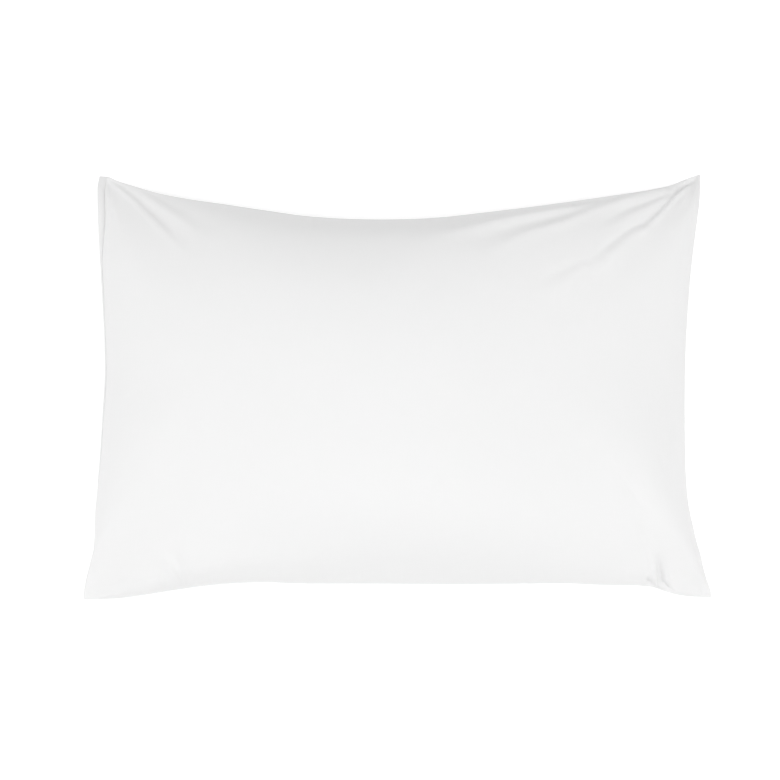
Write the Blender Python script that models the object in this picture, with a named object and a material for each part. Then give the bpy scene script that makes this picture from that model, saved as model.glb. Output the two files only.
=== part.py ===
"""A plain white pillowcase, filled and lying on its back.

The case is one length of cotton cloth, folded at the closed end (+X), seamed along both long sides and
left open behind its folded edge at the other end (-X). Filled, it is one closed body: a front panel
with its crown, a back panel that lies flat where it rests, and a thin seam line between the two, drawn
in along all four sides and drawn out into flat ears at the corners.

Metres, +Z up. The origin is in the middle of the body's box, on the surface that it lies on.
"""

import math

import bmesh
import bpy
import numpy as np

# Driving dimensions
LENGTH_ACROSS_CORNERS = 0.714
WIDTH_ACROSS_CORNERS = 0.496
EDGE_THICKNESS = 0.0026  # two layers of cloth and the seam allowance between them
FRONT_CROWN = 0.078  # from the surface that the seam lines span up to the top of the face

# The four corner ears, as shares of the half length and half width, and how high each ear lies
CORNERS = {
    "left_top": {"x": -0.992, "y": 1.000, "z": 0.040},
    "right_top": {"x": 1.000, "y": 1.000, "z": 0.042},
    "left_bottom": {"x": -1.000, "y": -1.000, "z": 0.034},
    "right_bottom": {"x": 1.000, "y": -0.991, "z": 0.036},
}

# How each side is drawn in: by how much, and how far the seam rises from its ears to its middle. Then,
# for its left or top end and for its other end, as shares of its length, how much of it stays straight as
# an ear, and how far from the tip it is fully drawn in.
SIDES = {
    "top": {"depth": 0.0565, "lift": 0.020, "ears": (0.00, 0.00), "reaches": (0.46, 0.54)},
    "bottom": {"depth": 0.0145, "lift": 0.020, "ears": (0.03, 0.04), "reaches": (0.25, 0.12)},
    "left": {"depth": 0.0170, "lift": 0.019, "ears": (0.04, 0.00), "reaches": (0.44, 0.42)},
    "right": {"depth": 0.0305, "lift": 0.019, "ears": (0.00, 0.00), "reaches": (0.70, 0.30)},
}

# The swell of both panels: how flat it stays from the middle towards each side, and how round it gets
SWELL = {
    "left": {"flatness": 3.7, "roundness": 0.66},
    "right": {"flatness": 3.7, "roundness": 0.62},
    "bottom": {"flatness": 3.0, "roundness": 0.52},
    "top": {"flatness": 2.5, "roundness": 0.58},
}
FULLEST_ALONG = 0.48  # the share of the length, from the left, at which the case is fullest
FULLEST_ACROSS = 0.45  # the share of the width, from the bottom
EAR_FLAT = 0.012  # from the corner's tip, where the two panels lie on each other
EAR_REACH = 0.130  # from the corner's tip to where the swell is undisturbed
RESTING_FULLNESS = 0.80  # where the swell is more than this, the back panel lies on the surface

# The main creases of the front panel. Each starts at a place measured from its corner's tip, runs the
# way that it heads, turns as it goes (both in degrees, counterclockwise from +X) and widens, and falls
# off more steeply on the side given.
CREASES = [
    {"corner": "left_top", "x": 0.012, "y": -0.012, "heading": -33, "turn": -22,
     "length": 0.130, "width": 0.0130, "depth": 0.0085, "steep": "right"},
    {"corner": "left_top", "x": 0.070, "y": -0.034, "heading": -24, "turn": -12,
     "length": 0.120, "width": 0.0150, "depth": 0.0036, "steep": "right"},
    {"corner": "right_top", "x": -0.010, "y": -0.012, "heading": -137, "turn": -5,
     "length": 0.180, "width": 0.0140, "depth": 0.0095, "steep": "left"},
    {"corner": "right_top", "x": -0.048, "y": -0.026, "heading": -153, "turn": 0,
     "length": 0.110, "width": 0.0140, "depth": 0.0050, "steep": "left"},
    {"corner": "right_top", "x": -0.058, "y": -0.020, "heading": -161, "turn": 4,
     "length": 0.290, "width": 0.0190, "depth": 0.0058, "steep": "left"},
    {"corner": "right_bottom", "x": -0.048, "y": 0.004, "heading": 112, "turn": 14,
     "length": 0.052, "width": 0.0080, "depth": 0.0065, "steep": "right"},
    {"corner": "right_bottom", "x": -0.070, "y": 0.012, "heading": 132, "turn": 0,
     "length": 0.032, "width": 0.0070, "depth": 0.0045, "steep": "right"},
]

CREASE_STEPS = 24  # straight steps along each crease
CREASE_START_WIDTH = 0.45  # its width at the start, as a share of the one in the table
CREASE_WIDENING = 1.10  # how much wider it gets by its end
CREASE_SETTING_IN = 0.12  # the share of its length after which it is deepest
CREASE_FADING = 0.70  # how evenly its depth fades from there, below 1 for late and above 1 for early

# The back panel's narrow hem at the open end, which stands out past the front panel's folded edge
HEM_SHOWING_AT_TOP = 0.009
HEM_SHOWING_ALONG = 0.003
HEM_WIDEST_FOR = 0.18  # the share of the side, from the top corner, over which it narrows
HEM_HIDDEN_FROM = 0.78  # the share of the side where the folded edge covers it
FOLD_REACH = 0.10  # the share of the length that gives way to the folded edge

SEAM_STIFFNESS = 0.012  # how far the seam allowance holds the cloth flat
FULL_ENOUGH_TO_PART = 0.22  # up to this fullness, a crease takes the back panel down with the front

# The mesh: faces along and across each panel, closer together towards the sides
ROWS_ALONG = 62
ROWS_ACROSS = 44
CROWDING = 0.72

WHITE = (0.86, 0.86, 0.86, 1.0)
CLOTH_ROUGHNESS = 0.85


def smooth(x):
    """0 to 1 as x goes from 0 to 1, level at both ends."""
    x = np.clip(x, 0.0, 1.0)
    return x * x * (3.0 - 2.0 * x)


def pulled(x):
    """0 to 1 as x goes from 0 to 1, at once away from 0 and level at 1."""
    x = np.clip(x, 0.0, 1.0)
    return x * (2.0 - x)


def corner(name):
    """A corner's tip."""
    place = CORNERS[name]
    half = 0.5 * LENGTH_ACROSS_CORNERS, 0.5 * WIDTH_ACROSS_CORNERS
    return np.array([place["x"] * half[0], place["y"] * half[1], place["z"]])


def drawn_in(side, t):
    """The share of its depth that a side is drawn in by, at the share t of its length."""
    share = np.ones_like(t)
    for ear, reach, from_end in zip(side["ears"], side["reaches"], (t, 1.0 - t)):
        x = (from_end - ear) / (reach - ear)
        share = share * (smooth(x) if ear > 0.0 else pulled(x))
    return share


def seam(name, start, end, inwards, t):
    """The seam line of one side, from one corner's tip to the next."""
    side = SIDES[name]
    t = np.asarray(t)
    points = corner(start) + t[..., None] * (corner(end) - corner(start))
    points = points + (side["depth"] * drawn_in(side, t))[..., None] * np.array([*inwards, 0.0])
    points[..., 2] += side["lift"] * pulled(2.0 * np.minimum(t, 1.0 - t))
    return points


def between_seams(along, across):
    """The surface that the four seam lines span, at shares of the length and of the width."""
    top = seam("top", "left_top", "right_top", (0.0, -1.0), along)
    bottom = seam("bottom", "left_bottom", "right_bottom", (0.0, 1.0), along)
    left = seam("left", "left_top", "left_bottom", (1.0, 0.0), 1.0 - across)
    right = seam("right", "right_top", "right_bottom", (-1.0, 0.0), 1.0 - across)
    along = along[..., None]
    across = across[..., None]
    ruled = (1.0 - across) * bottom + across * top + (1.0 - along) * left + along * right
    flat = (1.0 - across) * ((1.0 - along) * corner("left_bottom") + along * corner("right_bottom"))
    flat = flat + across * ((1.0 - along) * corner("left_top") + along * corner("right_top"))
    return ruled - flat


def swelling(start, end, fullest, share):
    """0 at the start and the end side, 1 where the panel is fullest, for a share from 0 to 1."""
    off = np.where(share < fullest, 1.0 - share / fullest, (share - fullest) / (1.0 - fullest))
    sides = [np.clip(1.0 - off ** SWELL[side]["flatness"], 0.0, 1.0) ** SWELL[side]["roundness"]
             for side in (start, end)]
    return np.where(share < fullest, *sides)


def fullness(along, across, places):
    """How full the case is, from 0 at the seam and in the flat ears to 1 in the middle."""
    full = swelling("left", "right", FULLEST_ALONG, along)
    full = full * swelling("bottom", "top", FULLEST_ACROSS, across)
    for name in CORNERS:
        away = np.linalg.norm(places[..., :2] - corner(name)[:2], axis=-1)
        full = full * smooth((away - EAR_FLAT) / (EAR_REACH - EAR_FLAT)) ** 0.5
    return full


def crease_path(row):
    """The line along a crease's bottom, in plan."""
    share = (np.arange(CREASE_STEPS) + 0.5) / CREASE_STEPS
    heading = np.radians(row["heading"] + row["turn"] * share)
    step = row["length"] / CREASE_STEPS * np.stack([np.cos(heading), np.sin(heading)], axis=-1)
    start = corner(row["corner"])[:2] + np.array([row["x"], row["y"]])
    return start + np.concatenate([np.zeros((1, 2)), np.cumsum(step, axis=0)])


def crease_depth(row, places):
    """How far one crease takes the front panel down."""
    path = crease_path(row)
    deepest = np.zeros(places.shape[:-1])
    for i, (start, end) in enumerate(zip(path[:-1], path[1:])):
        run = end - start
        length = np.linalg.norm(run)
        off = places[..., :2] - start
        ahead = np.clip(off @ run / length**2, 0.0, 1.0)
        aside = (run[0] * off[..., 1] - run[1] * off[..., 0]) / length
        apart = np.linalg.norm(off - ahead[..., None] * run, axis=-1)
        share = (i + ahead) / CREASE_STEPS
        steep = aside > 0.0 if row["steep"] == "left" else aside < 0.0
        width = row["width"] * (CREASE_START_WIDTH + CREASE_WIDENING * share) * np.where(steep, 0.5, 1.0)
        depth = row["depth"] * smooth(share / CREASE_SETTING_IN) * (1.0 - share) ** CREASE_FADING
        deepest = np.maximum(deepest, depth * np.exp(-((apart / width) ** 2)))
    return deepest


def crease_room(along, across):
    """0 at the seam line, which no crease bends, and 1 from a finger's width inside it."""
    inside = np.minimum(np.minimum(along, 1.0 - along) * LENGTH_ACROSS_CORNERS,
                        np.minimum(across, 1.0 - across) * WIDTH_ACROSS_CORNERS)
    return smooth(inside / SEAM_STIFFNESS)


def hem_showing(down):
    """How far the folded edge lies inside the hem, at a share of the left side from its top corner."""
    narrowing = 1.0 - smooth(down / HEM_WIDEST_FOR)
    shows = 1.0 - smooth((down - HEM_WIDEST_FOR) / (HEM_HIDDEN_FROM - HEM_WIDEST_FOR))
    return HEM_SHOWING_ALONG * shows + (HEM_SHOWING_AT_TOP - HEM_SHOWING_ALONG) * narrowing


def shares(rows):
    """Shares from 0 to 1, closer together towards both ends."""
    even = np.linspace(-1.0, 1.0, rows + 1)
    return 0.5 + 0.5 * ((1.0 - CROWDING) * even + CROWDING * np.sin(0.5 * math.pi * even))


def panels():
    """The front and the back panel, as two grids of points on one another."""
    along, across = np.meshgrid(shares(ROWS_ALONG), shares(ROWS_ACROSS), indexing="ij")
    middle = between_seams(along, across)
    full = fullness(along, across, middle)
    creased = np.max([crease_depth(row, middle) for row in CREASES], axis=0) * crease_room(along, across)
    front = middle.copy()
    front[..., 2] += 0.5 * EDGE_THICKNESS + FRONT_CROWN * full - creased
    front[..., 0] += hem_showing(1.0 - across) * (1.0 - smooth(along / FOLD_REACH))
    back = middle.copy()
    back[..., 2] -= 0.5 * EDGE_THICKNESS + creased * (1.0 - smooth(full / FULL_ENOUGH_TO_PART))
    back[..., 2] *= np.clip(1.0 - full / RESTING_FULLNESS, 0.0, 1.0) ** 2
    return front, back


def centred(front, back):
    """Both panels, moved so that the origin is in the middle of the body's box."""
    both = np.concatenate([front.reshape(-1, 3), back.reshape(-1, 3)])
    shift = np.array([*(0.5 * (both.min(axis=0) + both.max(axis=0)))[:2], both[:, 2].min()])
    return front - shift, back - shift


def rim(columns, rows):
    """The grid places round the edge, once round, counterclockwise from the left bottom corner."""
    last_column = columns - 1
    last_row = rows - 1
    places = [(i, 0) for i in range(last_column)]
    places += [(last_column, j) for j in range(last_row)]
    places += [(i, last_row) for i in range(last_column, 0, -1)]
    places += [(0, j) for j in range(last_row, 0, -1)]
    return places


def body_faces(columns, rows):
    """The quads of the front grid, of the back grid, and of the thin edge between the two."""
    def front(i, j):
        return i * rows + j

    def back(i, j):
        return columns * rows + front(i, j)

    faces = []
    for i in range(columns - 1):
        for j in range(rows - 1):
            ring = [(i, j), (i + 1, j), (i + 1, j + 1), (i, j + 1)]
            faces.append([front(*place) for place in ring])
            faces.append([back(*place) for place in reversed(ring)])
    edge = rim(columns, rows)
    for here, there in zip(edge, edge[1:] + edge[:1]):
        faces.append([front(*here), back(*here), back(*there), front(*there)])
    return faces


def cloth_material():
    """White cotton, matt."""
    material = bpy.data.materials.new("white_cotton")
    material.use_nodes = True
    shader = material.node_tree.nodes["Principled BSDF"]
    shader.inputs["Base Color"].default_value = WHITE
    shader.inputs["Roughness"].default_value = CLOTH_ROUGHNESS
    shader.inputs["Metallic"].default_value = 0.0
    return material


def lay_flat(mesh):
    """Makes one flat face of all that rests on the surface."""
    body = bmesh.new()
    body.from_mesh(mesh)
    resting = [face for face in body.faces if all(vert.co.z == 0.0 for vert in face.verts)]
    bmesh.ops.dissolve_faces(body, faces=resting, use_verts=False)
    body.to_mesh(mesh)
    body.free()


def make_pillowcase():
    """The filled case as one closed mesh."""
    front, back = centred(*panels())
    columns, rows = front.shape[:2]
    points = np.concatenate([front.reshape(-1, 3), back.reshape(-1, 3)])
    mesh = bpy.data.meshes.new("pillowcase")
    mesh.from_pydata(points.tolist(), [], body_faces(columns, rows))
    lay_flat(mesh)
    mesh.shade_smooth()
    mesh.materials.append(cloth_material())
    pillowcase = bpy.data.objects.new("pillowcase", mesh)
    bpy.context.scene.collection.objects.link(pillowcase)
    return pillowcase


for old in list(bpy.data.objects):
    bpy.data.objects.remove(old, do_unlink=True)
make_pillowcase()
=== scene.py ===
# %% [markdown]
# # A filled white pillowcase
#
# The object is a plain cotton pillowcase with its pillow inside, lying on its back. One length of cloth
# makes the whole case: it is folded at the closed end (+X), seamed along both long sides, and left open
# at the other end (-X), where the back panel's narrow hem stands out past the front panel's folded edge.
#
# The solid that is loaded below gives the size and the place. This notebook makes what the eye sees in
# that space: the swell of the two panels, the creases that run out of the corners, the seamed edges, the
# open end with its slit, and the weave of the cloth.

# %% The frame, and the room that the case has in it
import math

import bpy
import numpy as np
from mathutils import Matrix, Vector


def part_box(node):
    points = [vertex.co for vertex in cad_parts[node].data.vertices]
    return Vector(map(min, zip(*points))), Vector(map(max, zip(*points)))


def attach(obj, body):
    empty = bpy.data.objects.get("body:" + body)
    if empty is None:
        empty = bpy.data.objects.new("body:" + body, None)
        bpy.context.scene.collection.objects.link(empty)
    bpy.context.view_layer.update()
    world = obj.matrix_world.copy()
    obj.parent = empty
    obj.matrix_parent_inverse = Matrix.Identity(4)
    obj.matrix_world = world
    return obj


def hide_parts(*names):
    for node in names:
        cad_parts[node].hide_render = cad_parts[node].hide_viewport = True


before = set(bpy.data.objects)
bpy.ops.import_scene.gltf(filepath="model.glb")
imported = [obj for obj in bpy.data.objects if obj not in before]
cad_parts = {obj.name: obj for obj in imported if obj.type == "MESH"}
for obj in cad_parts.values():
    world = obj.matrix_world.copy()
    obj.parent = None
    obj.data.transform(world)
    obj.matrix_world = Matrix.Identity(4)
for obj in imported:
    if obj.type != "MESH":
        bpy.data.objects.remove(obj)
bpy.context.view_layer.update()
LOW, HIGH = (np.array(corner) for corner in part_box("pillowcase"))
LENGTH, WIDTH, HEIGHT = HIGH - LOW
MM = 0.001
print(f"the case: {LENGTH / MM:.1f} x {WIDTH / MM:.1f} x {HEIGHT / MM:.1f} mm")

# %% [markdown]
# ## Where its edges run
#
# Filling a flat bag draws its sides in: the cloth that rises into the crown is missing in plan. Only the
# corners stay out, as flat ears. So the outline is four corner tips and, between them, four seam lines
# that are drawn in by different amounts, because nobody fills a pillowcase evenly. The long side at the
# top (+Y) is drawn in most. A seam line also rises from its ears to its middle, because the empty ears
# hang down a little.
#
# A formula could give each side, but the real ones are not that even: the left side has a knee where its
# ear begins, and both long sides turn sharply at their right end. So each is a smooth curve through a few
# measured points.

# %% The corner tips and the four seam lines
CORNERS = {  # shares of the half length and half width, then the height of the ear
    "left_top": {"x": -0.989, "y": 1.016, "z": 24 * MM},
    "right_top": {"x": 1.001, "y": 1.016, "z": 25 * MM},
    "left_bottom": {"x": -1.000, "y": -1.000, "z": 25 * MM},
    "right_bottom": {"x": 1.000, "y": -0.991, "z": 27 * MM},
}
SIDES = {  # where each runs, how far and how sharply it rises, how far it is drawn in: (share, mm)
    "top": {
        "ends": ("left_top", "right_top"), "inwards": (0.0, -1.0), "lift": 29 * MM, "sharp": (3, 3),
        "drawn_in": [(0, 0), (0.012, 2.2), (0.03, 8.5), (0.06, 16.6), (0.10, 26.3), (0.15, 34.7),
                     (0.21, 42.2), (0.28, 50.7), (0.35, 58.2), (0.42, 61.5), (0.50, 62.1), (0.57, 59.6),
                     (0.64, 53.7), (0.72, 46.2), (0.80, 37.3), (0.87, 28.6), (0.92, 21.4), (0.955, 14.0),
                     (0.975, 7.4), (1, 0)],
    },
    "bottom": {
        "ends": ("left_bottom", "right_bottom"), "inwards": (0.0, 1.0), "lift": 27 * MM, "sharp": (3, 3),
        "drawn_in": [(0, 0), (0.03, 0), (0.06, 0.9), (0.10, 4.3), (0.15, 9.5), (0.20, 13.9), (0.25, 16.3),
                     (0.29, 17.0), (0.34, 15.4), (0.45, 14.8), (0.58, 13.8), (0.70, 14.3), (0.76, 14.8),
                     (0.83, 13.0), (0.885, 12.5), (0.905, 11.2), (0.925, 6.4), (0.95, 2.1), (0.975, 0.6),
                     (1, 0)],
    },
    "left": {
        "ends": ("left_top", "left_bottom"), "inwards": (1.0, 0.0), "lift": 28 * MM, "sharp": (7, 3),
        "drawn_in": [(0, 0), (0.03, -0.5), (0.06, 0.8), (0.10, 2.6), (0.16, 5.4), (0.25, 9.7), (0.33, 13.3),
                     (0.42, 16.8), (0.49, 18.3), (0.57, 17.3), (0.66, 16.0), (0.75, 13.9), (0.83, 12.2),
                     (0.87, 12.1), (0.89, 11.0), (0.92, 7.3), (0.96, 2.3), (0.985, 0.2), (1, 0)],
    },
    "right": {
        "ends": ("right_top", "right_bottom"), "inwards": (-1.0, 0.0), "lift": 28 * MM, "sharp": (7, 3),
        "drawn_in": [(0, 0), (0.03, 1.9), (0.08, 5.2), (0.14, 10.3), (0.22, 16.4), (0.32, 22.1), (0.42, 26.2),
                     (0.54, 29.0), (0.66, 30.1), (0.74, 29.5), (0.79, 27.5), (0.84, 22.5), (0.88, 17.7),
                     (0.905, 13.8), (0.93, 11.0), (0.96, 6.6), (0.985, 2.0), (1, 0)],
    },
}


def smooth(x):
    """0 to 1 as x goes from 0 to 1, level at both ends."""
    x = np.clip(x, 0.0, 1.0)
    return x * x * (3.0 - 2.0 * x)


def through(pairs, x):
    """A smooth curve through (place, value) pairs, at each x."""
    place, value = np.array(pairs, dtype=float).T
    slope = np.gradient(value, place)
    i = np.clip(np.searchsorted(place, x) - 1, 0, len(place) - 2)
    run = place[i + 1] - place[i]
    u = np.clip((x - place[i]) / run, 0.0, 1.0)
    start = (1.0 + 2.0 * u) * (1.0 - u) ** 2 * value[i] + u * (1.0 - u) ** 2 * run * slope[i]
    end = u * u * (3.0 - 2.0 * u) * value[i + 1] - u * u * (1.0 - u) * run * slope[i + 1]
    return start + end


def tip(name):
    """A corner's tip."""
    place = CORNERS[name]
    return np.array([0.5 * LENGTH * place["x"], 0.5 * WIDTH * place["y"], place["z"]])


def seam_line(name, t):
    """One side's seam line, from one corner's tip to the next, at shares t of its length."""
    side = SIDES[name]
    start, end = (tip(corner) for corner in side["ends"])
    line = start + t[..., None] * (end - start)
    line = line + (MM * through(side["drawn_in"], t))[..., None] * np.array([*side["inwards"], 0.0])
    to_middle = 1.0 - 2.0 * np.minimum(t, 1.0 - t)
    line[..., 2] += side["lift"] * (1.0 - to_middle ** np.where(t < 0.5, *side["sharp"]))
    return line


TOUCHING = 0.1 * MM


def between_seams(along, across):
    """The surface that the four seam lines span: each point is as high as the seams that are near it."""
    top, bottom = seam_line("top", along), seam_line("bottom", along)
    left, right = seam_line("left", 1.0 - across), seam_line("right", 1.0 - across)
    along, across = along[..., None], across[..., None]
    ruled = (1.0 - across) * bottom + across * top + (1.0 - along) * left + along * right
    flat = (1.0 - across) * ((1.0 - along) * tip("left_bottom") + along * tip("right_bottom"))
    flat = flat + across * ((1.0 - along) * tip("left_top") + along * tip("right_top"))
    surface = ruled - flat
    apart = [left[..., 0] - surface[..., 0], right[..., 0] - surface[..., 0],
             bottom[..., 1] - surface[..., 1], top[..., 1] - surface[..., 1]]
    nearness = [1.0 / (gap ** 2 + TOUCHING ** 2) for gap in apart]
    heights = [line[..., 2] for line in (left, right, bottom, top)]
    surface[..., 2] = sum(n * z for n, z in zip(nearness, heights)) / sum(nearness)
    return surface


for name, side in SIDES.items():
    print(name, "side: drawn in by up to", max(depth for _, depth in side["drawn_in"]), "mm")

# %% [markdown]
# ## How full it is
#
# The front panel swells away from that surface, and so does the back panel, until it meets what it lies
# on and goes flat there. Behind each seam the cloth stands up as a nearly straight, steep flank. Where
# the flank ends there is a soft bend, and beyond it the face curves gently up to its fullest place. How
# wide a flank is changes along its side, and it runs out to nothing at the ears, where the two panels lie
# on each other.
#
# The swell from the long sides and the swell from the short sides are joined like two resistances in
# parallel: each side's own flank shows near its own seam, and where two flanks meet the cloth is lower
# than either, which makes the ears. A sculpted pillow would look as good from one side, but here each
# number is something that can be measured: a slope, a width, a roundness.
#
# At the open end the back panel's hem stands out past the front panel's folded edge, widest at the top
# left corner. So the rows start at the fold, and the hem is added later as a rim.

# %% The rows of the mesh, and the two panels at rest on them
ROWS_ALONG, ROWS_ACROSS = 240, 166
CROWDING = 0.70  # 0 for even rows, towards 1 for rows that crowd to the sides, where the detail is
FLANKS = {  # (share, the bend's tightness), the face's roundness, (share, slope), (share, width in mm)
    "top": {"bend": [(0, 4), (0.45, 4), (0.58, 7), (0.85, 7), (1, 4)], "roundness": 2.7,
            "slope": [(0, 1.1), (0.20, 1.4), (0.35, 1.5), (0.50, 1.6), (0.62, 1.9), (0.80, 2.5), (1, 1.4)],
            "width": [(0, 0), (0.03, 8), (0.07, 17), (0.12, 24), (0.17, 30), (0.22, 38), (0.28, 42),
                      (0.35, 40), (0.42, 37), (0.47, 35), (0.53, 33), (0.58, 27), (0.62, 22), (0.66, 18),
                      (0.70, 15), (0.76, 11), (0.82, 9), (0.90, 10), (0.96, 8), (1, 0)]},
    "bottom": {"bend": [(0, 3), (1, 3)], "roundness": 3.2,
               "slope": [(0, 2.1), (0.06, 2.6), (0.20, 2.4), (0.30, 2.0), (0.80, 1.9), (1, 1.9)],
               "width": [(0, 0), (0.03, 3), (0.07, 12), (0.10, 16), (0.15, 19), (0.22, 20), (0.34, 20),
                         (0.60, 20), (0.82, 20), (0.88, 17), (0.91, 9), (0.94, 2), (1, 0)]},
    "left": {"bend": [(0, 4), (1, 4)], "roundness": 1.7,
             "slope": [(0, 1.05), (1, 1.05)],
             "width": [(0, 0), (0.05, 6), (0.12, 18), (0.20, 30), (0.30, 38), (0.40, 45), (0.53, 44),
                       (0.62, 46), (0.67, 40), (0.72, 33), (0.78, 26), (0.82, 18), (0.85, 11), (0.88, 3),
                       (0.91, 0), (1, 0)]},
    "right": {"bend": [(0, 2), (0.3, 2.3), (0.7, 2.3), (1, 2)], "roundness": 1.6,
              "slope": [(0, 1.5), (0.66, 1.5), (0.82, 2.3), (0.93, 2.5), (1, 1.8)],
              "width": [(0, 0), (0.06, 6), (0.18, 13), (0.30, 20), (0.41, 25), (0.53, 28), (0.65, 30),
                        (0.74, 28), (0.82, 26), (0.88, 19), (0.92, 13), (0.98, 3), (1, 0)]},
}
HEM_SHOWS = [(0, 9.4), (0.05, 10.0), (0.12, 9.8), (0.17, 6.8), (0.21, 4.4), (0.30, 3.3), (0.60, 3.0),
             (0.70, 2.2), (0.80, 0.0), (1, 0.0)]  # (share of the side from the top corner, mm)
FOLD_REACH = 0.08  # the share of the length over which the rows make room for it
FULLEST_ALONG = 0.48  # share of the length
FULLEST_ACROSS = [(0, 0.54), (0.15, 0.53), (0.32, 0.44), (0.50, 0.37), (0.68, 0.38), (0.85, 0.53), (1, 0.54)]
CROWN = 0.655 * HEIGHT  # above the seams
EAR_FLAT, EAR_REACH = 3 * MM, 36 * MM  # from the tip: where the panels touch, and where the swell is whole
EAR_ROUNDNESS = 0.5
RESTING_FULLNESS = 0.80  # where it is fuller than this, the back panel lies flat
EDGE = 1.7 * MM  # two layers of cloth and the seam allowance between them


def shares(rows):
    """Shares from 0 to 1, closer together towards both ends."""
    even = np.linspace(-1.0, 1.0, rows + 1)
    return 0.5 + 0.5 * ((1.0 - CROWDING) * even + CROWDING * np.sin(0.5 * math.pi * even))


def swelling(side, inside, reach, along_side):
    """How full it is at a distance inside one side's seam: 0 at the seam, 1 at the reach."""
    roundness = FLANKS[side]["roundness"]
    bend = through(FLANKS[side]["bend"], along_side)
    slope = through(FLANKS[side]["slope"], along_side)
    width = MM * np.maximum(through(FLANKS[side]["width"], along_side), 0.0)
    flank = inside * width / (inside ** bend + width ** bend + 1e-18) ** (1.0 / bend)
    beyond = np.clip((inside - flank) / (reach - width), 0.0, 1.0)
    return slope * flank / CROWN + (1.0 - slope * width / CROWN) * (1.0 - (1.0 - beyond) ** roundness)


def from_tip(name, places):
    """How far each place is from a corner's tip, in plan."""
    return np.linalg.norm(places[..., :2] - tip(name)[:2], axis=-1)


along, across = np.meshgrid(shares(ROWS_ALONG), shares(ROWS_ACROSS), indexing="ij")
hem_shows = MM * np.maximum(through(HEM_SHOWS, 1.0 - across), 0.0)
along = along + hem_shows / LENGTH * (1.0 - smooth(along / FOLD_REACH))
middle = between_seams(along, across)
inside = {  # each point's distance inside each seam, in plan
    "left": middle[..., 0] - middle[:1, :, 0], "right": middle[-1:, :, 0] - middle[..., 0],
    "bottom": middle[..., 1] - middle[:, :1, 1], "top": middle[:, -1:, 1] - middle[..., 1],
}
length, width = inside["left"] + inside["right"], inside["bottom"] + inside["top"]
full_along = np.where(along < FULLEST_ALONG,
                      swelling("left", inside["left"], FULLEST_ALONG * length, 1.0 - across),
                      swelling("right", inside["right"], (1.0 - FULLEST_ALONG) * length, 1.0 - across))
fullest = through(FULLEST_ACROSS, along)
full_across = np.where(across < fullest, swelling("bottom", inside["bottom"], fullest * width, along),
                       swelling("top", inside["top"], (1.0 - fullest) * width, along))
full = 1.0 / (1.0 / np.maximum(full_along, 1e-6) + 1.0 / np.maximum(full_across, 1e-6) - 1.0)
for name in CORNERS:
    full = full * smooth((from_tip(name, middle) - EAR_FLAT) / (EAR_REACH - EAR_FLAT)) ** EAR_ROUNDNESS

front = middle.copy()
front[..., 2] += 0.5 * EDGE + CROWN * full
back = middle.copy()
back[..., 2] -= 0.5 * EDGE
back[..., 2] *= np.clip(1.0 - full / RESTING_FULLNESS, 0.0, 1.0) ** 2
resting = full >= RESTING_FULLNESS
print(f"{front.shape[0]} x {front.shape[1]} points a panel, {resting.mean():.0%} of the back at rest")

# %% [markdown]
# ## Letting the cloth settle
#
# A formula's swell is too even. Blender's cloth solver blows the case up slightly, with gravity off, its
# edge and its resting patch held, and lets the cloth find its own tension for twenty frames. It works on
# every second row, which takes seconds. What it moved is then spread to the rows between by the
# four-point rule, a weighted mean of the two nearest rows on each side that keeps the surface smooth,
# and no point may move further than a cap.

# %% A short simulation, and what it moves
SETTLING_FRAMES = 20
SETTLING_PRESSURE = 4.0
SETTLING_STIFFNESS = 0.1
SETTLING_CAP = 8 * MM
SETTLING_SPARES_TIPS, SETTLING_SPARES_EDGE = 170 * MM, 50 * MM  # there the seams hold the cloth


def patches(grid):
    """The four corners of every quad of a grid, of point numbers or of anything else at its points."""
    corners = [grid[:-1, :-1], grid[1:, :-1], grid[1:, 1:], grid[:-1, 1:]]
    return np.stack(corners, axis=2).reshape(-1, 4, *grid.shape[2:])


def once_round(grid):
    """What a grid holds along its edge, counterclockwise from its left bottom corner."""
    return np.concatenate([grid[:-1, 0], grid[-1, :-1], grid[:0:-1, -1], grid[0, :0:-1]])


def closed(ring):
    """A ring with its first column again after its last."""
    return np.concatenate([ring, ring[:, :1]], axis=1)


def twice_as_fine(values):
    """Puts a row between each two rows, by the four-point rule."""
    first, last = 2.0 * values[:1] - values[1:2], 2.0 * values[-1:] - values[-2:-1]
    longer = np.concatenate([first, values, last])
    finer = np.empty((2 * len(values) - 1, *values.shape[1:]))
    finer[::2] = values
    finer[1::2] = (9.0 * (longer[1:-2] + longer[2:-1]) - longer[:-3] - longer[3:]) / 16.0
    return finer


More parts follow.
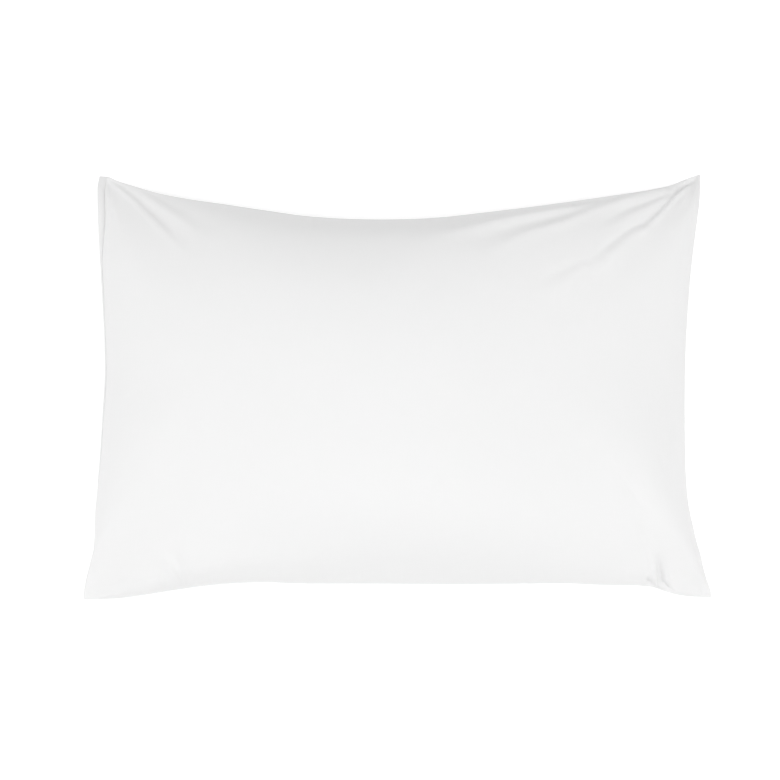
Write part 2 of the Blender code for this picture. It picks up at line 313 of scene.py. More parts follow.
def settled(front, back, held):
    """How far the cloth solver moves the points of both panels."""
    count = front[..., 0].size
    numbers = np.arange(count).reshape(front.shape[:2])
    edge = closed(np.stack([once_round(numbers), once_round(numbers) + count]))
    faces = np.concatenate([patches(numbers), patches(numbers + count)[:, ::-1], patches(edge)])
    points = np.concatenate([front.reshape(-1, 3), back.reshape(-1, 3)])
    mesh = bpy.data.meshes.new("settling")
    mesh.from_pydata(points.tolist(), [], faces.tolist())
    copy = bpy.data.objects.new("settling", mesh)
    bpy.context.scene.collection.objects.link(copy)
    copy.vertex_groups.new(name="held").add(np.flatnonzero(held).tolist(), 1.0, "REPLACE")
    cloth = copy.modifiers.new("Cloth", "CLOTH")
    cloth.settings.vertex_group_mass = "held"
    cloth.settings.use_pressure = True
    cloth.settings.uniform_pressure_force = SETTLING_PRESSURE
    cloth.settings.effector_weights.gravity = 0.0
    cloth.settings.bending_stiffness = SETTLING_STIFFNESS
    for number in range(1, SETTLING_FRAMES + 1):
        bpy.context.scene.frame_set(number)
    seen = copy.evaluated_get(bpy.context.evaluated_depsgraph_get()).data
    moved = np.empty(points.size)
    seen.vertices.foreach_get("co", moved)
    moved = moved.reshape(-1, 3) - points
    bpy.context.scene.frame_set(1)
    bpy.data.objects.remove(copy, do_unlink=True)
    bpy.data.meshes.remove(mesh)
    far = np.linalg.norm(moved, axis=-1, keepdims=True)
    moved *= np.minimum(1.0, SETTLING_CAP / np.maximum(far, 1e-9))
    return moved.reshape(2, *front.shape)


edge_held = np.zeros(full[::2, ::2].shape, dtype=bool)
edge_held[[0, -1], :] = edge_held[:, [0, -1]] = True
held = np.concatenate([edge_held.ravel(), (edge_held | resting[::2, ::2]).ravel()])
moves = settled(front[::2, ::2], back[::2, ::2], held)
moves *= smooth(np.minimum.reduce(list(inside.values()))[::2, ::2] / SETTLING_SPARES_EDGE)[..., None]
for name in CORNERS:
    moves *= smooth(from_tip(name, middle[::2, ::2]) / SETTLING_SPARES_TIPS)[..., None]
print(f"settling moved the front by {np.linalg.norm(moves[0], axis=-1).mean() / MM:.2f} mm on average,"
          f" {np.linalg.norm(moves[0], axis=-1).max() / MM:.2f} mm at most")
for panel, move in zip((front, back), moves):
    panel += twice_as_fine(twice_as_fine(move).swapaxes(0, 1)).swapaxes(0, 1)
back[..., 2] = np.maximum(back[..., 2], 0.0)

# %% [markdown]
# ## The creases
#
# The creases run out of the corners, because there the slack of the drawn-in sides has to go somewhere.
# Each is a soft fold with one steep wall, a crest on one side of the wall and a trough on the other. The
# wall is what shows, as a dark line, so a crease is given by the path of its wall in plan. It starts
# narrow and shallow at the ear, is steepest from a tenth of its way to the middle, and widens as it fades.
# It is pressed in square to the cloth, so it reads on the steep flanks too. In the ears the back panel
# goes down with the front one, because there the two lie on each other.
#
# Real folds could come out of a longer simulation, but never in the same places as on this pillowcase.

# %% The creases of the front panel
CREASES = [  # how steep the wall is, how far trough and crest reach in mm, its path in mm from the tip
    {"corner": "left_top", "trough": "left", "slope": 0.58, "trough_reach": 6.0, "crest_reach": 3.2,
     "wall": [(9, -5), (17, -10), (26, -18), (35, -26), (45, -35), (54, -45), (67, -59), (80, -73), (93, -88),
              (107, -105), (122, -123)]},
    {"corner": "left_top", "trough": "left", "slope": 0.32, "trough_reach": 8.0, "crest_reach": 4.5,
     "wall": [(50, -22), (63, -31), (76, -41), (88, -50), (101, -59), (113, -69), (126, -81), (142, -97)]},
    {"corner": "left_top", "trough": "left", "slope": 0.35, "trough_reach": 3.5, "crest_reach": 3.0,
     "wall": [(10, -5), (11, -11), (13, -29), (15, -55), (17, -86), (18, -100)]},
    {"corner": "right_top", "trough": "left", "slope": 0.45, "trough_reach": 4.0, "crest_reach": 2.5,
     "wall": [(-4, -4), (-12, -6), (-20, -8), (-29, -11), (-38, -15), (-50, -20)]},
    {"corner": "right_top", "trough": "left", "slope": 0.34, "trough_reach": 3.5, "crest_reach": 3.5,
     "wall": [(-12, -18), (-16, -26), (-19, -35), (-24, -43), (-29, -50), (-37, -60)]},
    {"corner": "right_top", "trough": "right", "slope": 1.30, "trough_reach": 3.6, "crest_reach": 2.8,
     "wall": [(-8, -8), (-12, -13), (-20, -20), (-30, -30), (-41, -41), (-49, -50), (-58, -60), (-65, -67),
              (-71, -74), (-78, -81), (-92, -94)]},
    {"corner": "right_top", "trough": "right", "slope": 0.70, "trough_reach": 2.8, "crest_reach": 9.0,
     "wall": [(-69, -68), (-81, -75), (-95, -85), (-108, -97), (-119, -107), (-128, -117), (-138, -125),
              (-150, -136)]},
    {"corner": "right_top", "trough": "right", "slope": 0.60, "trough_reach": 4.0, "crest_reach": 6.0,
     "wall": [(-14, -14), (-23, -20), (-35, -28), (-51, -36), (-70, -46), (-88, -55), (-100, -63),
              (-110, -71), (-120, -79), (-135, -91)]},
    {"corner": "right_top", "trough": "right", "slope": 0.64, "trough_reach": 8.0, "crest_reach": 6.0,
     "wall": [(-38, -15), (-55, -20), (-73, -26), (-89, -33), (-109, -42), (-124, -48), (-142, -56),
              (-154, -62), (-172, -70), (-189, -76), (-207, -82), (-224, -90), (-240, -99), (-253, -107),
              (-267, -116), (-281, -124)]},
    {"corner": "right_top", "trough": "right", "slope": 0.52, "trough_reach": 7.0, "crest_reach": 7.0,
     "wall": [(-118, -38), (-157, -47), (-180, -52), (-203, -57), (-226, -62), (-249, -68), (-271, -75),
              (-294, -82), (-325, -92), (-350, -100)]},
    {"corner": "right_top", "trough": "right", "slope": 0.24, "trough_reach": 6.0, "crest_reach": 8.0,
     "wall": [(-142, -120), (-154, -129), (-168, -139), (-181, -148), (-205, -167)]},
    {"corner": "right_bottom", "trough": "right", "slope": 2.60, "trough_reach": 3.8, "crest_reach": 2.2,
     "wall": [(-41, -8), (-46, -2), (-51, 3), (-56, 8), (-61, 13), (-63, 20), (-65, 29), (-66, 36),
              (-71, 47)]},
    {"corner": "right_bottom", "trough": "right", "slope": 3.00, "trough_reach": 3.0, "crest_reach": 1.5,
     "wall": [(-57, -3), (-62, 2), (-67, 6), (-72, 9), (-77, 13), (-83, 19)]},
    {"corner": "left_bottom", "trough": "right", "slope": 0.70, "trough_reach": 6.0, "crest_reach": 4.0,
     "wall": [(119, 7), (117, 12), (113, 20), (109, 28), (102, 38), (91, 49)]},
]
CREASE_STEPS = 32
CREASE_START_WIDTH, CREASE_WIDENING = 0.60, 0.80  # shares of its reach
CREASE_SETTING_IN, CREASE_FADING_FROM = 0.10, 0.50  # shares of its length
SEAM_STIFFNESS = 3 * MM  # up to here the seam keeps the cloth from creasing
FULL_ENOUGH_TO_PART, BACK_FOLLOWS = 0.22, 0.75  # where the panels part, and how far the back one follows


def crease_line(row):
    """The foot of a crease's wall, in plan."""
    path = np.array(row["wall"], dtype=float)
    gone = np.concatenate([[0.0], np.cumsum(np.linalg.norm(np.diff(path, axis=0), axis=1))])
    gone /= gone[-1]
    share = np.arange(CREASE_STEPS + 1) / CREASE_STEPS
    line = np.stack([through(np.stack([gone, path[:, i]], axis=1), share) for i in (0, 1)], axis=1)
    return tip(row["corner"])[:2] + MM * line


def pressed_in(row, places):
    """How deep one crease is at each place, below 0 for its crest."""
    line = crease_line(row)
    apart = np.full(places.shape[:-1], np.inf)
    share = np.zeros_like(apart)
    left = np.zeros_like(apart)
    for i, (start, end) in enumerate(zip(line[:-1], line[1:])):
        run = end - start
        off = places[..., :2] - start
        ahead = np.clip(off @ run / (run @ run), 0.0, 1.0)
        distance = np.linalg.norm(off - ahead[..., None] * run, axis=-1)
        nearer = distance < apart
        apart = np.where(nearer, distance, apart)
        share = np.where(nearer, (i + ahead) / CREASE_STEPS, share)
        left = np.where(nearer, run[0] * off[..., 1] - run[1] * off[..., 0], left)
    in_trough = left > 0.0 if row["trough"] == "left" else left < 0.0
    reach = MM * np.where(in_trough, row["trough_reach"], row["crest_reach"])
    reach = reach * (CREASE_START_WIDTH + CREASE_WIDENING * share)
    slope = row["slope"] * smooth(share / CREASE_SETTING_IN)
    slope = slope * (1.0 - smooth((share - CREASE_FADING_FROM) / (1.0 - CREASE_FADING_FROM)))
    return slope * np.where(in_trough, 1.0, -1.0) * apart * np.exp(-0.5 * (apart / reach) ** 2)


def facing(panel):
    """The unit normals of a panel, on the side that looks up."""
    normal = np.cross(np.gradient(panel, axis=0), np.gradient(panel, axis=1))
    return normal / np.maximum(np.linalg.norm(normal, axis=-1, keepdims=True), 1e-12)


from_seam = np.minimum.reduce(list(inside.values()))
creased = sum(pressed_in(row, front) for row in CREASES) * smooth(from_seam / SEAM_STIFFNESS)
front -= creased[..., None] * facing(front)
back[..., 2] -= BACK_FOLLOWS * creased * (1.0 - smooth(full / FULL_ENOUGH_TO_PART))
print(f"{len(CREASES)} creases, the deepest {creased.max() / MM:.1f} mm")

# %% [markdown]
# The back panel has its own creases. The photo doesn't show them, so these are a guess, and plain ones:
# two at each corner, of unequal length, that fan out of the ear as those of the front do. The same
# function presses them in, so they look like the work of the same cloth.

# %% The creases of the back panel
BACK_CREASES = {  # at each corner: how steep, and the directions in plan in degrees and lengths in mm
    "left_top": (0.60, [(-33, 118), (-62, 92)]),
    "right_top": (0.65, [(-142, 132), (-118, 88)]),
    "left_bottom": (0.55, [(30, 104), (58, 96)]),
    "right_bottom": (0.60, [(151, 112), (121, 84)]),
}
BACK_CREASE_START = 12  # mm from the tip
BACK_CREASE_BOW = 0.10  # how far it bows out, as a share of its length
BACK_CREASE_POINTS = 6
BACK_TROUGH_REACH, BACK_CREST_REACH = 6.0, 8.0  # mm

back_rows = []
for corner, (slope, fan) in BACK_CREASES.items():
    for turn, reach in fan:
        way = np.array([math.cos(math.radians(turn)), math.sin(math.radians(turn))])
        aside = np.array([-way[1], way[0]])
        share = np.linspace(0.0, 1.0, BACK_CREASE_POINTS)[:, None]
        path = (BACK_CREASE_START + (reach - BACK_CREASE_START) * share) * way
        path = path + BACK_CREASE_BOW * reach * np.sin(math.pi * share) * aside
        back_rows.append({"corner": corner, "trough": "left", "slope": slope, "wall": path,
                          "trough_reach": BACK_TROUGH_REACH, "crest_reach": BACK_CREST_REACH})
back_creased = sum(pressed_in(row, back) for row in back_rows) * smooth(from_seam / SEAM_STIFFNESS)
back += back_creased[..., None] * facing(back)
back[..., 2] = np.maximum(back[..., 2], 0.0)
print(f"{len(back_rows)} creases at the back, the deepest {back_creased.max() / MM:.1f} mm")

# %% [markdown]
# ## What the seams and the filling do to the cloth
#
# Three small things keep it from looking like a blown-up rubber skin. The seam allowance inside makes a
# low ridge along both long sides. The stitching gathers the cloth a little, so there are short puckers
# next to those seams. And the filling is never quite even, so the faces have waves a hand wide and a
# fraction of a millimetre high.

# %% The seam ridges, the puckers and the waves
RIDGE_HEIGHT, RIDGE_WIDTH = 0.3 * MM, 6 * MM
PUCKER_HEIGHT, PUCKER_REACH = 0.58 * MM, 8 * MM
PUCKER_GROUPS = (130 * MM, 260 * MM, 4)  # the shortest and longest wave, and how many are added up
PUCKER_WAVES = (9 * MM, 30 * MM, 12)
WAVE_HEIGHT, WAVE_MARGIN = 0.16 * MM, 60 * MM
WAVES = (60 * MM, 170 * MM, 14)
chance = np.random.default_rng(7)


def ripple(shortest, longest, count, *places):
    """A sum of waves of random lengths, directions and phases, about 1 high."""
    total = 0.0
    for _ in range(count):
        wavelength = chance.uniform(shortest, longest)
        turn, phase = chance.uniform(0.0, 2.0 * math.pi, size=2)
        ways = (math.cos(turn), math.sin(turn)) if len(places) == 2 else (1.0,)
        total = total + np.sin(2.0 * math.pi * sum(w * p for w, p in zip(ways, places)) / wavelength + phase)
    return total / math.sqrt(0.5 * count)


raised = np.zeros_like(full)
for side in ("top", "bottom"):
    ridge = smooth(inside[side] / (0.4 * RIDGE_WIDTH)) * (1.0 - smooth(inside[side] / RIDGE_WIDTH - 0.4))
    gathered = np.exp(-inside[side] / PUCKER_REACH) * smooth(inside[side] / (0.3 * PUCKER_REACH))
    raised += RIDGE_HEIGHT * ridge
    in_groups = smooth(0.5 + 0.5 * ripple(*PUCKER_GROUPS, middle[..., 0]))
    raised += PUCKER_HEIGHT * gathered * in_groups * ripple(*PUCKER_WAVES, middle[..., 0])
waves = WAVE_HEIGHT * smooth(from_seam / WAVE_MARGIN)
waves = waves * ripple(*WAVES, middle[..., 0], middle[..., 1])
front += (raised + waves)[..., None] * facing(front)
back -= raised[..., None] * facing(back)
back[..., 2] = np.maximum(back[..., 2], 0.0)
print(f"ridges and puckers up to {raised.max() / MM:.2f} mm")

# %% [markdown]
# The back panel's hem is turned in twice and stitched down, so up to the stitches the cloth is three
# layers thick. That is a step of half a millimetre, too low for a piece of its own. So the back panel is
# lowered by that much as far as the stitches, and comes back up there.

# %% The step of the hem
HEM_WIDTH = 10 * MM
HEM_STEP, HEM_STEP_WIDTH = 0.45 * MM, 1.6 * MM
past_stitches = inside["left"] + hem_shows - HEM_WIDTH
back[..., 2] -= HEM_STEP * (1.0 - smooth(0.5 + past_stitches / HEM_STEP_WIDTH))
print(f"the hem is {HEM_WIDTH / MM:.0f} mm wide and {HEM_STEP / MM:.2f} mm thicker than the cloth past it")

# %% [markdown]
# ## The edge all round
#
# Along the two long sides the edge is a turned seam, at the closed end it is a fold, and at the open end
# it is a slit. A strip of points goes round the edge from the front panel to the back panel. Where the
# case is closed, its section is half a circle. At the open end it is the slit's own section: round the
# front panel's fold, in under it, and out again over the hem of the back panel and round its lip.

# %% The section of the edge
LIP = 0.78 * MM  # the thickness of the fold, and of the hem
SLIT_DEPTH = 14 * MM
SEWN_SHUT = 14 * MM  # how far the side seams close the slit, from each corner's tip
SHUT_DEPTH = 1.5 * LIP
HEM_DROOP = 0.40  # how far the hem hangs down for each millimetre that it shows
SECTION = 14  # points between the two panels

ring_front, ring_back = once_round(front), once_round(back)
outwards = np.roll(ring_front, -1, axis=0) - np.roll(ring_front, 1, axis=0)
outwards = np.stack([outwards[:, 1], -outwards[:, 0], np.zeros(len(outwards))], axis=-1)
outwards /= np.linalg.norm(outwards, axis=-1, keepdims=True)

angle = np.pi * np.arange(1, SECTION + 1) / (SECTION + 1)
halfway, half = 0.5 * (ring_front + ring_back), 0.5 * (ring_front - ring_back)
edge = halfway + np.cos(angle)[:, None, None] * half + 0.5 * EDGE * np.sin(angle)[:, None, None] * outwards

# %% [markdown]
# The open end is the one place where the case isn't sewn. A boolean cut could make the slit, but its rim
# would be as sharp as a knife's. So the slit is drawn as a section, a few points from the round of the
# fold, in between the layers and out round the hem's lip, and that section runs along the whole side.
# Near the two corners the side seams hold the slit shut.

# %% The slit at the open end, and the hem past it
hem_lip = seam_line("left", 1.0 - across[0])
hem_lip[:, 2] -= 0.5 * EDGE + HEM_DROOP * hem_shows[0]
near_tip = np.minimum(from_tip("left_top", hem_lip), from_tip("left_bottom", hem_lip))
depth = SHUT_DEPTH + (SLIT_DEPTH - SHUT_DEPTH) * smooth(near_tip / SEWN_SHUT)
SLIT = [  # the share of the way from the fold to the hem's lip, then inwards, and up from the back panel
    (0, -0.50 * LIP, EDGE - 0.15 * LIP),
    (0, -0.85 * LIP, EDGE - 0.50 * LIP),
    (0, -0.95 * LIP, EDGE - 0.90 * LIP),
    (0, -0.70 * LIP, EDGE - 1.12 * LIP),
    (0, 0.60 * depth, EDGE - 1.12 * LIP),
    (0, 0.90 * depth, EDGE - 1.12 * LIP),
    (0, depth, 0.5 * EDGE),
    (0, 0.90 * depth, LIP),
    (0, 0.60 * depth, LIP),
    (0, 0.75 * LIP, LIP),
    (1, 0.50 * LIP, LIP),
    (1, 0.10 * LIP, 0.85 * LIP),
    (1, -0.10 * LIP, 0.50 * LIP),
    (1, 0.10 * LIP, 0.15 * LIP),
]


def back_drop(inwards):
    """How much lower the back panel is at a distance inside the fold, for each row across."""
    wanted = np.broadcast_to(inwards, len(hem_lip))
    return np.array([np.interp(wanted[j], back[:, j, 0] - back[0, j, 0], back[:, j, 2]) - back[0, j, 2]
                     for j in range(len(hem_lip))])


for i, (to_lip, inwards, up) in enumerate(SLIT):
    offset = np.zeros_like(hem_lip)
    offset[:, 0] = inwards
    offset[:, 2] = up + (1 - to_lip) * back_drop(inwards)
    left_side = (1 - to_lip) * back[0] + to_lip * hem_lip + offset
    edge[i, -np.arange(len(hem_lip))] = left_side
print(f"the slit is {SLIT_DEPTH / MM:.0f} mm deep, the hem shows up to {hem_shows.max() / MM:.0f} mm")

# %% [markdown]
# ## One closed body
#
# The two panels and the edge between them become one mesh, as the case is one piece of cloth. Its height
# is fitted to the solid's. In plan it keeps the solid's size to a millimetre, apart from the tips of the
# two upper ears, which reach 5 mm further. It also gets a map of where each point lies on the flat cloth,
# in metres, which the weave follows. Unwrapping the shape would need seams where the cloth has none.

# %% The mesh, its place and its flat cut
CUT = np.array([0.75, 0.50])  # the flat case, as sewn

count = front[..., 0].size
numbers = np.arange(count).reshape(front.shape[:2])
edge_numbers = np.arange(edge[..., 0].size).reshape(edge.shape[:2]) + 2 * count
front_ring, back_ring = once_round(numbers), once_round(numbers + count)
ring_numbers = closed(np.concatenate([front_ring[None], edge_numbers, back_ring[None]]))
faces = np.concatenate([patches(numbers), patches(numbers + count)[:, ::-1], patches(ring_numbers)])

points = np.concatenate([panel.reshape(-1, 3) for panel in (front, back, edge)])
low, high = points.min(axis=0), points.max(axis=0)
points[:, 2] *= HEIGHT / high[2]
print("beyond the box by", np.round((low - LOW) / MM, 1), np.round((high - HIGH) / MM, 1),
      "mm, before the height is fitted")

cut = np.stack([along, across], axis=-1) * CUT
section = np.concatenate([ring_front[None], edge, ring_back[None]])
gone = np.cumsum(np.linalg.norm(np.diff(section, axis=0, prepend=section[:1]), axis=-1), axis=0)
cut_ring = closed(once_round(cut) + gone[..., None] * outwards[:, :2])
cut_corners = np.concatenate([patches(cut), patches(cut)[:, ::-1], patches(cut_ring)]).reshape(-1, 2)

mesh = bpy.data.meshes.new("pillowcase_cloth")
mesh.from_pydata(points.tolist(), [], faces.tolist())
flat_cut = mesh.uv_layers.new(name="cloth_cut")
flat_cut.data.foreach_set("uv", cut_corners.ravel())
mesh.shade_smooth()
case = bpy.data.objects.new("pillowcase_cloth", mesh)
bpy.context.scene.collection.objects.link(case)
print(f"{len(mesh.vertices)} points, {2 * len(mesh.polygons)} triangles")

# %% [markdown]
# ## The cloth's finish
#
# A matt white cotton has hardly any colour or gloss to go by. What tells it from plaster is its weave from
# close by, and from a step away its small unevenness. A picture of cloth would do, but nodes stay sharp at
# any distance and need no file. The weave and the unevenness are two node groups, so that the case and its
# thread can share them. Both work on the flat cut, so they follow the cloth round every fold.

# %% Helpers for nodes
def put(tree, kind, *values, **settings):
    """A new node with its settings, and each input set to a value or linked. Gives its first output."""
    node = tree.nodes.new(kind)
    for name, value in settings.items():
        setattr(node, name, value)
    for socket, value in zip(node.inputs, values):
        if isinstance(value, bpy.types.NodeSocket):
            tree.links.new(value, socket)
        elif value is not None:
            socket.default_value = value
    return node.outputs[0]


def new_group(name, inputs, outputs):
    """A node group with named sockets: its tree, its inputs by name and the inputs of its output node."""
    tree = bpy.data.node_groups.new(name, "ShaderNodeTree")
    for socket_name, kind, value in inputs:
        socket = tree.interface.new_socket(socket_name, in_out="INPUT", socket_type=kind)
        if value is not None:
            socket.default_value = value
    for socket_name, kind in outputs:
        tree.interface.new_socket(socket_name, in_out="OUTPUT", socket_type=kind)
    return tree, tree.nodes.new("NodeGroupInput").outputs, tree.nodes.new("NodeGroupOutput").inputs


# %% [markdown]
# Percale is the plainest weave, one thread over and one under. The height of each thread is a sine, and
# the higher of the two that cross is the one that shows. Real yarn also has thicker stretches, called
# slubs. They are noise drawn out along the threads both ways, which changes the tone and the roughness.

# %% The plain weave
SLUB_LENGTHS, SLUB_THREADS = 45.0, 900.0  # per metre along a thread, and across the threads


def plain_weave():
    """Threads over and under each other: their height, and the tone and roughness of their slubs."""
    tree, given, result = new_group(
        "plain_weave",
        [("Place", "NodeSocketVector", None), ("Threads per Metre", "NodeSocketFloat", 2800.0),
         ("Colour", "NodeSocketColor", (0.8, 0.8, 0.8, 1.0)), ("Slubs", "NodeSocketFloat", 0.02),
         ("Roughness", "NodeSocketFloat", 0.85)],
        [("Height", "NodeSocketFloat"), ("Colour", "NodeSocketColor"), ("Roughness", "NodeSocketFloat")])
    threads = put(tree, "ShaderNodeVectorMath", given["Place"], None, None, given["Threads per Metre"],
                  operation="SCALE")
    split = tree.nodes.new("ShaderNodeSeparateXYZ")
    tree.links.new(threads, split.inputs[0])
    waves = []
    for axis in ("X", "Y"):
        turn = put(tree, "ShaderNodeMath", split.outputs[axis], math.pi, operation="MULTIPLY")
        waves.append(put(tree, "ShaderNodeMath", turn, operation="SINE"))
    crossing = put(tree, "ShaderNodeMath", *waves, operation="MULTIPLY")
    heights = []
    for wave, side in zip(waves, (0.5, -0.5)):
        thread = put(tree, "ShaderNodeMath", wave, operation="ABSOLUTE")
        thread = put(tree, "ShaderNodeMath", thread, 0.5, operation="MULTIPLY")
        heights.append(put(tree, "ShaderNodeMath", crossing, side, thread, operation="MULTIPLY_ADD"))
    height = put(tree, "ShaderNodeMath", *heights, operation="MAXIMUM")
    tree.links.new(height, result["Height"])
    slubs = []
    for stretched in ((SLUB_LENGTHS, SLUB_THREADS, 1.0), (SLUB_THREADS, SLUB_LENGTHS, 1.0)):
        along_thread = put(tree, "ShaderNodeVectorMath", given["Place"], stretched, operation="MULTIPLY")
        slubs.append(put(tree, "ShaderNodeTexNoise", along_thread, None, 1.0, 2.0))
    slub = put(tree, "ShaderNodeMath", *slubs, operation="ADD")
    slub = put(tree, "ShaderNodeMath", slub, 1.0, operation="SUBTRACT")
    tone = put(tree, "ShaderNodeMath", slub, given["Slubs"], 1.0, operation="MULTIPLY_ADD")
    toned = put(tree, "ShaderNodeVectorMath", given["Colour"], None, None, tone, operation="SCALE")
    tree.links.new(toned, result["Colour"])
    rough = put(tree, "ShaderNodeMath", slub, given["Slubs"], given["Roughness"], operation="MULTIPLY_ADD")
    tree.links.new(rough, result["Roughness"])
    return tree


weave = plain_weave()
print(weave.name, [item.name for item in weave.interface.items_tree])

# %% [markdown]
# Washing and filling leave the cloth softly uneven, two to three centimetres from one swelling to the
# next and too low for the mesh. Noise in several octaves gives swellings of more than one size.

# %% The unevenness of used cloth
def soft_unevenness():
    """Low swellings and hollows of several sizes, as a height from 0 to 1."""
    tree, given, result = new_group(
        "soft_unevenness", [("Place", "NodeSocketVector", None), ("Size", "NodeSocketFloat", 0.02)],
        [("Height", "NodeSocketFloat")])
    per_metre = put(tree, "ShaderNodeMath", 1.0, given["Size"], operation="DIVIDE")
    scaled = put(tree, "ShaderNodeVectorMath", given["Place"], None, None, per_metre, operation="SCALE")
    tree.links.new(put(tree, "ShaderNodeTexNoise", scaled, None, 1.0, 3.0, 0.45), result["Height"])
    return tree


unevenness = soft_unevenness()
print(unevenness.name, [item.name for item in unevenness.interface.items_tree])

# %% [markdown]
# The case and its thread are both white cotton, and differ in how fine and how uneven their yarn is. So
# one function makes both materials. Loose fibres give cotton a faint sheen, and it has almost no gloss.

# %% The materials of the case and of its thread
WEAVE_DEPTH = 0.04 * MM
UNEVEN_DEPTH, UNEVEN_SIZE = 0.22 * MM, 26 * MM
FUZZ, FUZZ_SPREAD = 0.06, 0.5  # the sheen of the cotton's loose fibres
GLOSS = 0.3


def grouped(tree, group, **values):
    """A group's node in a material, with its inputs set or linked by name."""
    node = tree.nodes.new("ShaderNodeGroup")
    node.node_tree = group
    for name, value in values.items():
        socket = node.inputs[name.replace("_", " ")]
        if isinstance(value, bpy.types.NodeSocket):
            tree.links.new(value, socket)
        else:
            socket.default_value = value
    return node.outputs


def cotton(name, colour, slubs, roughness, threads):
    """A woven cotton, whose weave and unevenness follow the flat cut."""
    material = bpy.data.materials.new(name)
    material.use_nodes = True
    tree = material.node_tree
    shader = tree.nodes["Principled BSDF"]
    place = put(tree, "ShaderNodeUVMap", uv_map="cloth_cut")
    woven = grouped(tree, weave, Place=place, Threads_per_Metre=threads, Colour=colour, Slubs=slubs,
                    Roughness=roughness)
    uneven = grouped(tree, unevenness, Place=place, Size=UNEVEN_SIZE)
    tree.links.new(woven["Colour"], shader.inputs["Base Color"])
    tree.links.new(woven["Roughness"], shader.inputs["Roughness"])
    shader.inputs["Specular IOR Level"].default_value = GLOSS
    shader.inputs["Sheen Weight"].default_value = FUZZ
    shader.inputs["Sheen Roughness"].default_value = FUZZ_SPREAD
    broad, fine = tree.nodes.new("ShaderNodeBump"), tree.nodes.new("ShaderNodeBump")
    for bump, group, depth in ((broad, uneven, UNEVEN_DEPTH), (fine, woven, WEAVE_DEPTH)):
        tree.links.new(group["Height"], bump.inputs["Height"])
        bump.inputs["Distance"].default_value = depth
    tree.links.new(broad.outputs["Normal"], fine.inputs["Normal"])
    tree.links.new(fine.outputs["Normal"], shader.inputs["Normal"])
    return material


case_cloth = cotton("case_cloth", (0.80, 0.80, 0.80, 1.0), slubs=0.018, roughness=0.85, threads=2800.0)
thread_cotton = cotton("thread_cotton", (0.84, 0.84, 0.84, 1.0), slubs=0.05, roughness=0.7, threads=5200.0)
print(case_cloth.name, thread_cotton.name)

# %% [markdown]
# The case is the soft, filled piece that stands in for the plain solid. The pillow makes it plump, but
# leaves its corners empty.

# %% The case rides on its body and stands for the solid
mesh.materials.append(case_cloth)
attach(case, "root")
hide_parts("pillowcase")

# %% [markdown]
# ## The hem's stitches
#
# One row of lockstitch holds the hem. It lies on the back panel, so it shows from the open end and from
# below. Bump could fake it, but from close by each stitch is a small roll of thread that dips into the
# cloth at both ends. Each is a short round bar, thickest in its middle, set on the cloth's own surface at
# the hem's inner edge, and all of them are one mesh. The photo doesn't show them, so they are a guess.

# %% One row of stitches on the back panel
STITCH_PITCH, STITCH_LENGTH, STITCH_THICK = 2.9 * MM, 2.4 * MM, 0.5 * MM
STITCH_SIDES, STITCH_RINGS = 6, 5
STITCH_PROUD = 0.10 * MM  # how far a stitch's axis lies outside the cloth
STITCH_MARGIN = 6 * MM  # from the side seams


def at_place(place, places, values):
    """A line's value at one place along it."""
    return np.array([np.interp(place, places, values[:, k]) for k in range(3)])


def stitch_bar(start, end, up):
    """The points of one stitch: its two ends, and between them rings that are thickest in the middle."""
    run = (end - start) / np.linalg.norm(end - start)
    side = np.cross(up, run)
    bar = [start]
    for r in range(STITCH_RINGS):
        share = (r + 0.5) / STITCH_RINGS
        swell = math.sin(math.pi * share)
        thick = 0.5 * STITCH_THICK * swell ** 0.5
        centre = start + share * (end - start) + STITCH_PROUD * swell * up
        for n in range(STITCH_SIDES):
            turn = 2.0 * math.pi * n / STITCH_SIDES
            bar.append(centre + thick * (math.cos(turn) * side + math.sin(turn) * up))
    return np.array([*bar, end])


def stitch_faces(first):
    """The faces of one stitch, whose points are numbered from the first on."""
    last = first + STITCH_RINGS * STITCH_SIDES + 1
    polygons = []
    for n in range(STITCH_SIDES):
        m = (n + 1) % STITCH_SIDES
        polygons.append([first, first + 1 + m, first + 1 + n])
        polygons.append([last, last - STITCH_SIDES + n, last - STITCH_SIDES + m])
        for base in range(first + 1, last - STITCH_SIDES, STITCH_SIDES):
            polygons.append([base + n, base + m, base + STITCH_SIDES + m, base + STITCH_SIDES + n])
    return polygons


finished = points[count:2 * count].reshape(*back.shape)
hem_line = np.array([at_place(HEM_WIDTH - hem_shows[0, j], inside["left"][:, j], finished[:, j])
                     for j in range(ROWS_ACROSS + 1)])
outward = -facing(finished)[np.abs(past_stitches).argmin(axis=0), np.arange(ROWS_ACROSS + 1)]
gone = np.concatenate([[0.0], np.cumsum(np.linalg.norm(np.diff(hem_line, axis=0), axis=1))])
starts = np.arange(STITCH_MARGIN, gone[-1] - STITCH_MARGIN - STITCH_LENGTH, STITCH_PITCH)
bars = [stitch_bar(at_place(start, gone, hem_line), at_place(start + STITCH_LENGTH, gone, hem_line),
                   at_place(start + 0.5 * STITCH_LENGTH, gone, outward)) for start in starts]
bar_faces = [polygon for i, bar in enumerate(bars) for polygon in stitch_faces(i * len(bar))]

stitch_points = np.concatenate(bars)
stitch_mesh = bpy.data.meshes.new("hem_stitches")
stitch_mesh.from_pydata(stitch_points.tolist(), [], bar_faces)
stitch_cut = stitch_mesh.uv_layers.new(name="cloth_cut")
corners = np.array([v for polygon in bar_faces for v in polygon])
stitch_cut.data.foreach_set("uv", stitch_points[corners][:, 1:].ravel())
stitch_mesh.shade_smooth()
stitch_mesh.materials.append(thread_cotton)
stitches = bpy.data.objects.new("hem_stitches", stitch_mesh)
bpy.context.scene.collection.objects.link(stitches)
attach(stitches, "root")
print(f"{len(bars)} stitches along {gone[-1] / MM:.0f} mm")

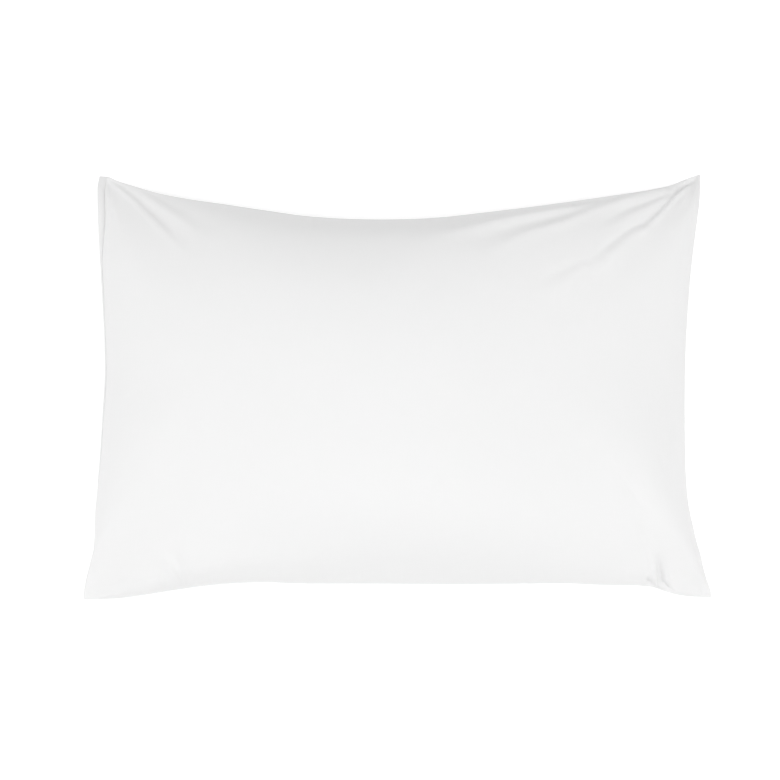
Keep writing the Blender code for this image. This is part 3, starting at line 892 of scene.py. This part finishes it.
# %% [markdown]
# ## Floor, light and camera
#
# The photo is a catalogue picture: a white ground without a shadow. A floor that is only lit would turn
# grey round the case, so it is a matt white sheet that also glows a little.

# %% The floor
FLOOR_SIZE = 12
FLOOR_GLOW = 0.15
bpy.ops.mesh.primitive_plane_add(size=FLOOR_SIZE)
floor = bpy.context.object
floor.name = "floor"
sheet = bpy.data.materials.new("white_sheet")
sheet.use_nodes = True
shader = sheet.node_tree.nodes["Principled BSDF"]
shader.inputs["Base Color"].default_value = (0.97, 0.97, 0.97, 1.0)
shader.inputs["Roughness"].default_value = 0.9
shader.inputs["Emission Color"].default_value = (1.0, 1.0, 1.0, 1.0)
shader.inputs["Emission Strength"].default_value = FLOOR_GLOW
floor.data.materials.append(sheet)
print("a floor of", FLOOR_SIZE, "m")

# %% [markdown]
# The light in the photo is soft and comes from all round. So the room is white, and five large lamps stand
# round the case: one above it, a wide one in front, one at its left, and one high and one low at its right.
# The wide front lamp shades the slopes that face away from it, which is where the creases show. Their
# powers are the ones that brought the tones closest to the photo's.

# %% The light
ROOM_LIGHT = 0.612
LAMP_DISTANCE = 2.6
LAMP_AIM = (0.0, 0.0, 0.06)
LAMPS = {  # azimuth, elevation in degrees; width and height in metres; power in watts
    "above": (0.0, 89.0, 2.0, 2.0, 10.7),
    "front": (-6.0, 66.0, 4.0, 1.0, 7.8),
    "left": (-75.0, 42.0, 1.5, 1.5, 16.8),
    "right": (75.0, 55.0, 1.2, 1.2, 10.9),
    "right_low": (75.0, 30.0, 1.2, 1.2, 6.2),
}


def seen_from(azimuth, elevation, distance, aim):
    """A place at a distance from the aim; azimuth 0 is the side at -Y, and it grows towards +X."""
    turn, rise = math.radians(azimuth), math.radians(elevation)
    way = Vector((math.sin(turn) * math.cos(rise), -math.cos(turn) * math.cos(rise), math.sin(rise)))
    return Vector(aim) + distance * way


def aimed(item, aim):
    """Turns a lamp or a camera towards the aim."""
    item.rotation_euler = (Vector(aim) - item.location).to_track_quat("-Z", "Y").to_euler()


room = bpy.data.worlds.new("white_room")
room.use_nodes = True
room.node_tree.nodes["Background"].inputs["Color"].default_value = (1.0, 1.0, 1.0, 1.0)
room.node_tree.nodes["Background"].inputs["Strength"].default_value = ROOM_LIGHT
bpy.context.scene.world = room

for name, (azimuth, elevation, wide, high, power) in LAMPS.items():
    lamp_data = bpy.data.lights.new(f"lamp_{name}", "AREA")
    lamp_data.shape = "RECTANGLE"
    lamp_data.size, lamp_data.size_y = wide, high
    lamp_data.energy = power
    lamp = bpy.data.objects.new(f"lamp_{name}", lamp_data)
    bpy.context.scene.collection.objects.link(lamp)
    lamp.location = seen_from(azimuth, elevation, LAMP_DISTANCE, LAMP_AIM)
    aimed(lamp, LAMP_AIM)
bpy.context.scene.view_settings.view_transform = "Standard"
print(len(LAMPS), "lamps")

# %% [markdown]
# The camera looks down at the case, ten degrees off the plumb line. Its lens is worked out from how much
# of the scene the photo spans, so that the distance alone sets the perspective.

# %% The camera
CAMERA_AIM = (-0.0088, -0.0115, 0.055)
CAMERA_DISTANCE, CAMERA_ELEVATION = 2.3, 80.0
PHOTO_PIXELS, PIXEL_SIZE = 780, 1.1458 * MM  # what one pixel spans at the aim
camera_data = bpy.data.cameras.new("camera")
camera_data.lens = camera_data.sensor_width * CAMERA_DISTANCE / (PHOTO_PIXELS * PIXEL_SIZE)
camera = bpy.data.objects.new("camera", camera_data)
bpy.context.scene.collection.objects.link(camera)
camera.location = seen_from(0.0, CAMERA_ELEVATION, CAMERA_DISTANCE, CAMERA_AIM)
aimed(camera, CAMERA_AIM)
bpy.context.scene.camera = camera
print(f"lens {camera_data.lens:.1f} mm")

# %% [markdown]
# ## Closing
#
# The scene is brought up to date.

# %% The end
bpy.context.view_layer.update()
